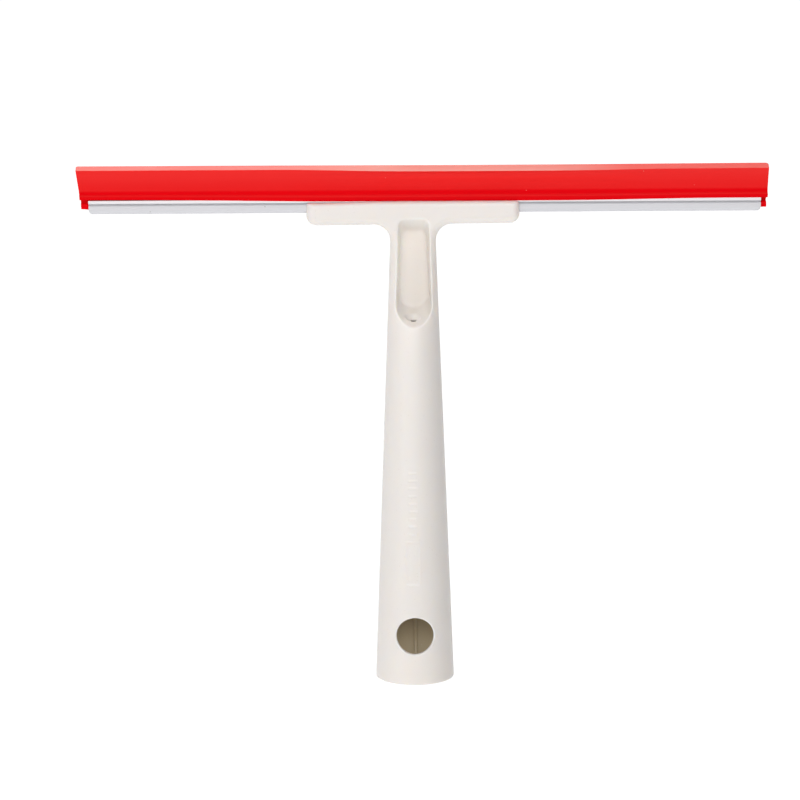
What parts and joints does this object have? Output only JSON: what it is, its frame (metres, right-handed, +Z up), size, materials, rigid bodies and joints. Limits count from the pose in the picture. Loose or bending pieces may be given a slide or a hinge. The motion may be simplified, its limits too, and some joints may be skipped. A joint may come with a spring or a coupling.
{
  "type": "window squeegee",
  "caption": "Hand window squeegee: hollow tapered plastic handle with a T-shaped head, a light grey sliding channel and a leaning red rubber blade.",
  "frame": {"origin": "centre of the handle's open lower end, where a pole goes in", "axes": "+Z up the handle towards the blade, -Y the front with the recess, the hang hole and the blade's leaning tip, +X to the right seen from the front and along the blade"},
  "size_m": [0.3, 0.0352, 0.2302],
  "materials": {
    "handle_plastic": "warm off-white polypropylene, satin, with faint moulding marks",
    "channel_plastic": "cool light grey extruded plastic, satin",
    "blade_rubber": "bright red soft rubber with a slight sheen"
  },
  "bodies": {
    "handle_body": {"handle": "handle_plastic"},
    "channel_body": {"channel": "channel_plastic"},
    "blade_body": {"blade": "blade_rubber"}
  },
  "joints": [
    {"name": "channel_slide", "type": "slide", "parent": "handle_body", "child": "channel_body", "axis": [1, 0, 0], "range_m": [-0.175, 0.175]},
    {"name": "blade_slide", "type": "slide", "parent": "channel_body", "child": "blade_body", "axis": [1, 0, 0], "range_m": [-0.285, 0.285]}
  ]
}
